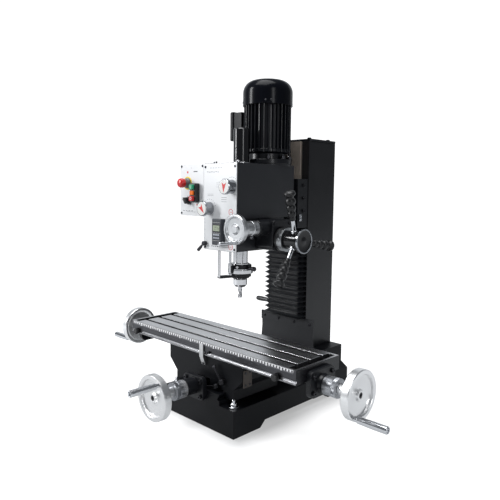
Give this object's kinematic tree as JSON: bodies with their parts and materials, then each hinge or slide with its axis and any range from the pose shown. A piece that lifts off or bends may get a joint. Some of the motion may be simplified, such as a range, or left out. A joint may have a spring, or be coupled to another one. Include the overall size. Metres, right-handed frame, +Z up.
{
  "type": "vertical milling machine",
  "caption": "Bench vertical milling machine: T-slotted cross table, square dovetail column and tilting geared head with quill, feed levers, screws, handwheels and controls that move.",
  "frame": {"origin": "on the floor, at the centre of the machine's bounding box seen from above, handles included", "axes": "+Z up, +X to the operator's right along the table, +Y away from the operator towards the column"},
  "size_m": [1.1086, 0.7854, 1.008],
  "materials": {
    "black_iron": "satin black paint over cast iron",
    "ground_steel": "ground, with fine long scratches",
    "polished_aluminium": "polished",
    "chrome": "bright plated",
    "bright_steel": "turned or ground, oiled",
    "bronze": "turned",
    "black_plastic": "moulded, satin",
    "black_rubber": "matt, dusty",
    "silver_panel": "silver grey printed panel, satin",
    "red_plastic": "moulded",
    "green_plastic": "moulded",
    "glossy_black": "glossy black enamel on pressed steel"
  },
  "bodies": {
    "base": {"base": "black_iron", "column": "black_iron", "column_cap": "black_iron", "saddle_screw_bracket": "black_iron", "way_apron": "black_rubber", "way_bellows": "black_rubber"},
    "saddle": {"saddle": "black_iron", "saddle_screw_nut": "bronze", "table_screw_nut": "bronze", "scale_pointer": "bright_steel"},
    "table": {"table": "ground_steel", "table_bracket_left": "black_iron", "table_bracket_right": "black_iron"},
    "table_stop": {"table_stop": "black_plastic"},
    "table_screw": {"table_screw": "bright_steel", "table_dial": "bright_steel", "table_handwheel_left": "polished_aluminium", "table_handwheel_right": "polished_aluminium"},
    "table_crank_left": {"table_crank_handle_left": "chrome"},
    "table_crank_right": {"table_crank_handle_right": "chrome"},
    "saddle_screw": {"saddle_screw": "bright_steel", "saddle_dial": "bright_steel", "saddle_handwheel": "polished_aluminium"},
    "saddle_crank": {"saddle_crank_handle": "chrome"},
    "table_lock": {"table_lock_lever": "chrome"},
    "saddle_lock": {"saddle_lock_lever": "chrome"},
    "column_screw": {"column_screw": "bright_steel"},
    "column_crank": {"column_crank": "black_iron"},
    "column_crank_grip": {"column_crank_handle": "black_plastic"},
    "head_slide": {"head_slide": "black_iron"},
    "head": {"head_casting": "black_iron", "front_panel": "silver_panel", "control_box": "black_iron", "drawbar_cover": "bright_steel", "switch_housing": "black_plastic", "depth_display": "black_plastic", "feed_housing": "black_iron", "motor_body": "black_iron", "motor_fan_cover": "glossy_black", "motor_terminal_box": "black_iron"},
    "motor_rotor": {"motor_rotor": "bright_steel"},
    "spindle_gear": {"spindle_gear": "bright_steel"},
    "quill": {"quill": "bright_steel", "quill_collar": "black_iron"},
    "spindle": {"spindle": "bright_steel", "end_mill": "bright_steel"},
    "feed_shaft": {"feed_pinion_shaft": "bright_steel", "feed_dial": "bright_steel", "feed_hub": "black_iron", "clutch_cap": "chrome"},
    "fine_feed": {"fine_feed_worm": "bright_steel", "fine_feed_handwheel": "polished_aluminium"},
    "fine_feed_grip": {"fine_feed_handle": "chrome"},
    "emergency_stop": {"emergency_stop_button": "red_plastic"},
    "start_button": {"start_button": "green_plastic"},
    "stop_button": {"stop_button": "red_plastic"},
    "selector": {"selector_switch": "black_plastic"},
    "speed_knob_upper": {"speed_knob_upper": "bright_steel"},
    "speed_knob_lower": {"speed_knob_lower": "bright_steel"},
    "quill_lock": {"quill_lock_lever": "chrome"}
  },
  "joints": [
    {"name": "saddle_screw_turn", "type": "hinge", "parent": "base", "child": "saddle_screw", "pos_m": [-0.014, -0.29335, 0.116], "axis": [0, 1, 0], "range_deg": [-540, 13500]},
    {"name": "saddle_travel", "type": "slide", "parent": "base", "child": "saddle", "axis": [0, 1, 0], "range_m": [-0.006, 0.15]},
    {"name": "saddle_crank_handle_spin", "type": "hinge", "parent": "saddle_screw", "child": "saddle_crank", "pos_m": [0.01892, -0.29335, 0.16131], "axis": [0, 1, 0], "continuous": true},
    {"name": "table_screw_turn", "type": "hinge", "parent": "table", "child": "table_screw", "pos_m": [-0.014, -0.04035, 0.187], "axis": [1, 0, 0], "range_deg": [-16650, 16650]},
    {"name": "table_travel", "type": "slide", "parent": "saddle", "child": "table", "axis": [1, 0, 0], "range_m": [-0.185, 0.185]},
    {"name": "table_crank_handle_left_spin", "type": "hinge", "parent": "table_screw", "child": "table_crank_left", "pos_m": [-0.514, -0.07247, 0.14113], "axis": [1, 0, 0], "continuous": true},
    {"name": "table_crank_handle_right_spin", "type": "hinge", "parent": "table_screw", "child": "table_crank_right", "pos_m": [0.486, -0.07247, 0.14113], "axis": [1, 0, 0], "continuous": true},
    {"name": "table_stop_travel", "type": "slide", "parent": "table", "child": "table_stop", "axis": [1, 0, 0], "range_m": [-0.07, 0.04]},
    {"name": "table_lock_turn", "type": "hinge", "parent": "saddle", "child": "table_lock", "pos_m": [0.072, -0.12035, 0.139], "axis": [0, 1, 0], "range_deg": [0, 38]},
    {"name": "saddle_lock_turn", "type": "hinge", "parent": "saddle", "child": "saddle_lock", "pos_m": [0.049, -0.12035, 0.121], "axis": [0, 1, 0], "range_deg": [0, 43]},
    {"name": "column_screw_turn", "type": "hinge", "parent": "base", "child": "column_screw", "pos_m": [-0.014, 0.24665, 0.264], "axis": [0, 0, 1], "range_deg": [-9900, 4950]},
    {"name": "head_travel", "type": "slide", "parent": "base", "child": "head_slide", "axis": [0, 0, 1], "range_m": [-0.055, 0.11], "deforming": ["way_bellows"]},
    {"name": "column_crank_turn", "type": "hinge", "parent": "base", "child": "column_crank", "pos_m": [-0.092, 0.32065, 0.36], "axis": [1, 0, 0], "range_deg": [-4950, 9900]},
    {"name": "column_crank_handle_spin", "type": "hinge", "parent": "column_crank", "child": "column_crank_grip", "pos_m": [-0.164, 0.28567, 0.28143], "axis": [1, 0, 0], "continuous": true},
    {"name": "head_tilt", "type": "hinge", "parent": "head_slide", "child": "head", "pos_m": [-0.014, 0.19965, 0.629], "axis": [0, 1, 0], "range_deg": [-90, 90]},
    {"name": "motor_turn", "type": "hinge", "parent": "head", "child": "motor_rotor", "pos_m": [-0.014, 0.13765, 0.65], "axis": [0, 0, 1], "continuous": true},
    {"name": "spindle_gear_turn", "type": "hinge", "parent": "head", "child": "spindle_gear", "pos_m": [-0.014, 0.02465, 0.65], "axis": [0, 0, 1], "continuous": true},
    {"name": "spindle_turn", "type": "hinge", "parent": "quill", "child": "spindle", "pos_m": [-0.014, 0.02465, 0.378], "axis": [0, 0, 1], "continuous": true},
    {"name": "feed_hub_turn", "type": "hinge", "parent": "head", "child": "feed_shaft", "pos_m": [0.117, 0.06065, 0.529], "axis": [1, 0, 0], "range_deg": [0, 215.4], "stiffness_Nm_per_rad": 0.8, "springref_deg": -91.67},
    {"name": "quill_travel", "type": "slide", "parent": "head", "child": "quill", "axis": [0, 0, -1], "range_m": [0, 0.05]},
    {"name": "fine_feed_turn", "type": "hinge", "parent": "head", "child": "fine_feed", "pos_m": [0.086, -0.09335, 0.563], "axis": [0, 1, 0], "continuous": true},
    {"name": "fine_feed_handle_spin", "type": "hinge", "parent": "fine_feed", "child": "fine_feed_grip", "pos_m": [0.0962, -0.09335, 0.52743], "axis": [0, 1, 0], "continuous": true},
    {"name": "quill_lock_turn", "type": "hinge", "parent": "head", "child": "quill_lock", "pos_m": [-0.074, -0.06245, 0.511], "axis": [0, 1, 0], "range_deg": [0, 40]},
    {"name": "speed_knob_upper_turn", "type": "hinge", "parent": "head", "child": "speed_knob_upper", "pos_m": [0.036, -0.06245, 0.679], "axis": [0, 1, 0], "range_deg": [-60, 60]},
    {"name": "speed_knob_lower_turn", "type": "hinge", "parent": "head", "child": "speed_knob_lower", "pos_m": [-0.058, -0.06245, 0.615], "axis": [0, 1, 0], "range_deg": [-60, 60]},
    {"name": "selector_turn", "type": "hinge", "parent": "head", "child": "selector", "pos_m": [-0.151, -0.06245, 0.636], "axis": [0, 1, 0], "range_deg": [-45, 45]},
    {"name": "emergency_stop_press", "type": "slide", "parent": "head", "child": "emergency_stop", "axis": [0, 1, 0], "range_m": [0, 0.003]},
    {"name": "start_button_press", "type": "slide", "parent": "head", "child": "start_button", "axis": [0, 1, 0], "range_m": [0, 0.003], "stiffness_N_per_m": 300, "springref_m": -0.003},
    {"name": "stop_button_press", "type": "slide", "parent": "head", "child": "stop_button", "axis": [0, 1, 0], "range_m": [0, 0.003], "stiffness_N_per_m": 300, "springref_m": -0.003}
  ],
  "couplings": [
    {"joint": "saddle_screw_turn", "follows": "saddle_travel", "rad_per_m": 1570.8},
    {"joint": "table_screw_turn", "follows": "table_travel", "rad_per_m": 1570.8},
    {"joint": "column_screw_turn", "follows": "head_travel", "rad_per_m": -1570.8},
    {"joint": "column_crank_turn", "follows": "head_travel", "rad_per_m": 1570.8},
    {"joint": "spindle_gear_turn", "follows": "motor_turn", "ratio": -0.73302},
    {"joint": "spindle_turn", "follows": "motor_turn", "ratio": -0.73302},
    {"joint": "quill_travel", "follows": "feed_hub_turn", "m_per_rad": 0.0133}
  ]
}
